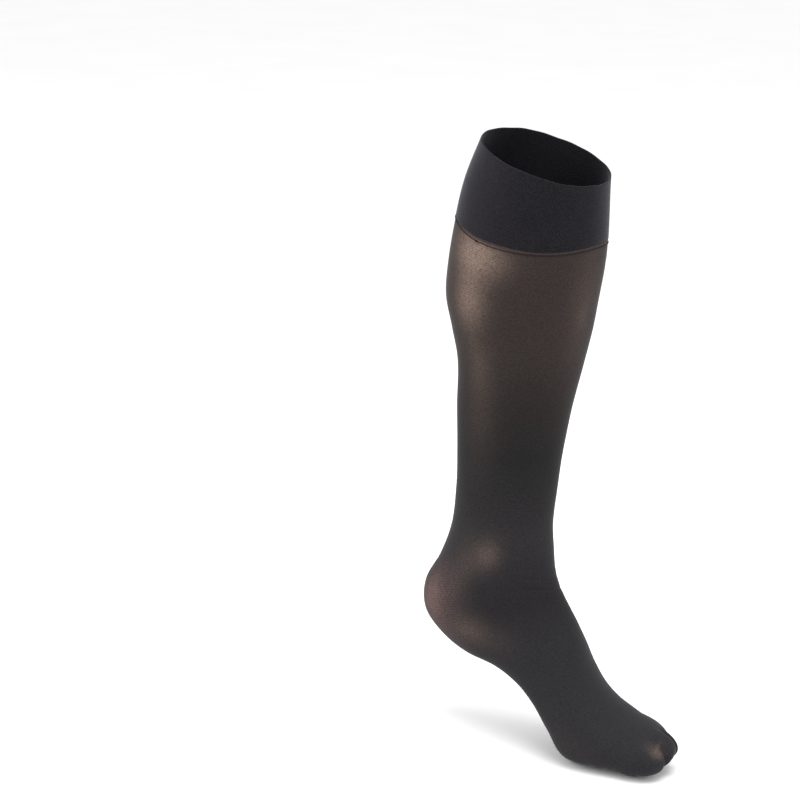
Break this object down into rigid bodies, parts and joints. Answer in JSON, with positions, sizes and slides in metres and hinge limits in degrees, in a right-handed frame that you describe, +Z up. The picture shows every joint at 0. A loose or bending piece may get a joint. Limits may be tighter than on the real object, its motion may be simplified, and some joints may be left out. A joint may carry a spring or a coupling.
{
  "type": "compression stocking",
  "caption": "Knee-high compression stocking for the left leg, worn shape with raised heel: wide dense top band, sheer calf, closer knit ankle and foot, closed toe.",
  "frame": {"origin": "middle of the top rim, where the leg holds the stocking up", "axes": "+Z up along the leg, +X towards the toes, +Y to the outer side of the left leg"},
  "size_m": [0.2354, 0.1122, 0.4985],
  "materials": {
    "band_knit": "dense matt elastic knit, near black",
    "leg_knit": "sheer fine knit, warm charcoal, slightly lustrous",
    "foot_knit": "closer fine knit, neutral charcoal, slightly lustrous"
  },
  "bodies": {
    "root": {"top_band": "band_knit", "leg": "leg_knit", "foot": "foot_knit", "forefoot": "foot_knit"}
  },
  "joints": []
}
